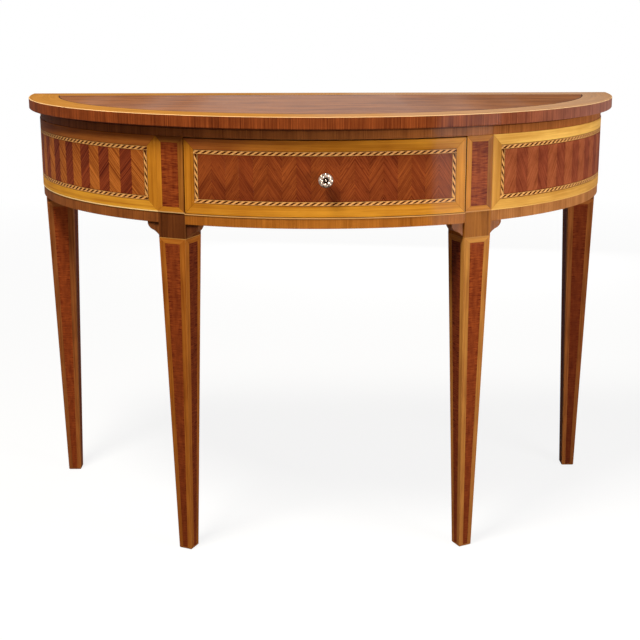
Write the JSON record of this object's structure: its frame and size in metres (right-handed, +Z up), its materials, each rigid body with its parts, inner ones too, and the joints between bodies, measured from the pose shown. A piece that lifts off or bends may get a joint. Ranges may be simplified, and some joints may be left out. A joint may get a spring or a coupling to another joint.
{
  "type": "demilune table",
  "caption": "Half-round side table on tapered legs, with an inlaid frieze of striped panels, a bow-fronted drawer with a flower knob, and a flat back that stands against a wall.",
  "frame": {"origin": "on the floor, below the middle of the top's bounding box", "axes": "+X along the straight back to the right as seen from the front, +Y out of the back towards the wall, +Z up"},
  "size_m": [1.14, 0.515, 0.78],
  "materials": {
    "golden_veneer": "french-polished satinwood, mitred",
    "leg_veneer": "french-polished satinwood",
    "panel_veneer": "french-polished, cross grain",
    "light_slat_veneer": "french-polished",
    "dark_slat_veneer": "french-polished",
    "rope_banding": "polished inlay of pale and dark lozenges",
    "band_veneer": "french-polished",
    "top_veneer": "glossy french polish",
    "top_border_veneer": "glossy french polish",
    "top_edge_veneer": "french-polished, cross grain",
    "dark_line": "ebonised inlay",
    "carcass_wood": "bare pine, planed",
    "drawer_wood": "bare oak, planed",
    "nickel": "polished nickel plate",
    "steel": "bright zinc"
  },
  "bodies": {
    "table": {"back_rail": "carcass_wood", "drawer_stops": "carcass_wood", "frieze_bottom_band": "band_veneer", "frieze_top_band": "band_veneer", "left_apron_border": "golden_veneer", "left_apron_core": "carcass_wood", "left_apron_dark_slats": "dark_slat_veneer", "left_apron_light_slats": "light_slat_veneer", "left_apron_rope": "rope_banding", "left_drawer_guide": "carcass_wood", "left_drawer_kicker": "carcass_wood", "left_drawer_runner": "carcass_wood", "left_front_leg": "leg_veneer", "left_front_leg_panels": "panel_veneer", "left_rear_leg": "leg_veneer", "left_rear_leg_panels": "panel_veneer", "left_stile_border": "golden_veneer", "left_stile_panel": "panel_veneer", "leg_brackets": "band_veneer", "lower_front_rail": "carcass_wood", "right_apron_border": "golden_veneer", "right_apron_core": "carcass_wood", "right_apron_dark_slats": "dark_slat_veneer", "right_apron_light_slats": "light_slat_veneer", "right_apron_rope": "rope_banding", "right_drawer_guide": "carcass_wood", "right_drawer_kicker": "carcass_wood", "right_drawer_runner": "carcass_wood", "right_front_leg": "leg_veneer", "right_front_leg_panels": "panel_veneer", "right_rear_leg": "leg_veneer", "right_rear_leg_panels": "panel_veneer", "right_stile_border": "golden_veneer", "right_stile_panel": "panel_veneer", "top_border": "top_border_veneer", "top_core": "carcass_wood", "top_edge_banding": "top_edge_veneer", "top_field": "top_veneer", "top_glue_blocks": "carcass_wood", "top_line": "dark_line", "top_screws": "steel", "upper_front_rail": "carcass_wood"},
    "drawer": {"drawer_back": "drawer_wood", "drawer_border": "golden_veneer", "drawer_bottom": "drawer_wood", "drawer_bottom_screws": "steel", "drawer_dark_slats": "dark_slat_veneer", "drawer_front": "carcass_wood", "drawer_knob": "nickel", "drawer_knob_screw": "steel", "drawer_light_slats": "light_slat_veneer", "drawer_rope": "rope_banding", "left_drawer_side": "drawer_wood", "right_drawer_side": "drawer_wood"}
  },
  "joints": [
    {"name": "drawer_slide", "type": "slide", "parent": "table", "child": "drawer", "axis": [0, -1, 0], "range_m": [0, 0.26]}
  ]
}
